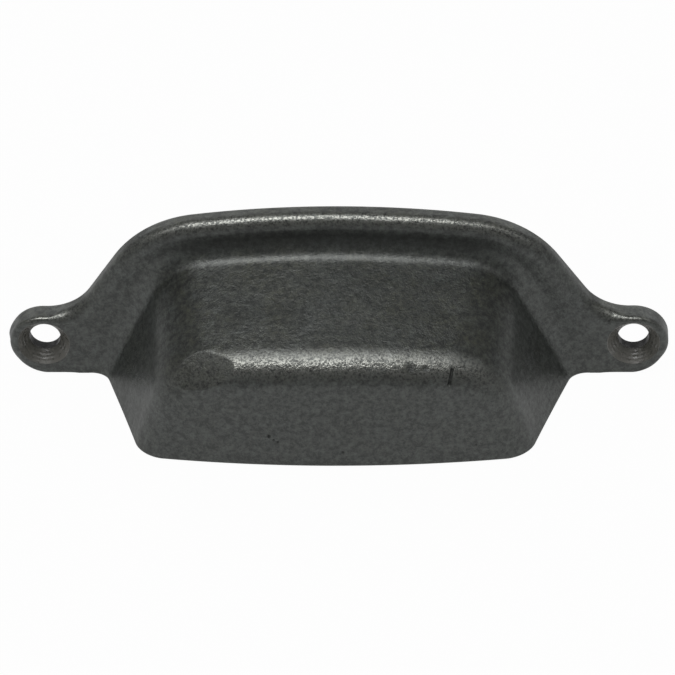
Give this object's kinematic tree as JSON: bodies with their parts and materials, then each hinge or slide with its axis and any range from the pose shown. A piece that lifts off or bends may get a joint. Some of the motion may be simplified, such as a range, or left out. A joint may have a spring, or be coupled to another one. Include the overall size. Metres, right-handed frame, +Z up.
{
  "type": "cup pull",
  "caption": "Cast-iron cup pull: a hooded drawer handle, open behind and below, on an arched flange with countersunk screw ears.",
  "frame": {"origin": "midway between the two screw holes, on the back face of the flange", "axes": "+X along the length through both holes, +Y out of the back face into the drawer front, +Z up"},
  "size_m": [0.1072, 0.0272, 0.0316],
  "materials": {
    "iron": "dark waxed casting skin, satin, with rubbed edges"
  },
  "bodies": {
    "root": {"cup_pull": "iron"}
  },
  "joints": []
}
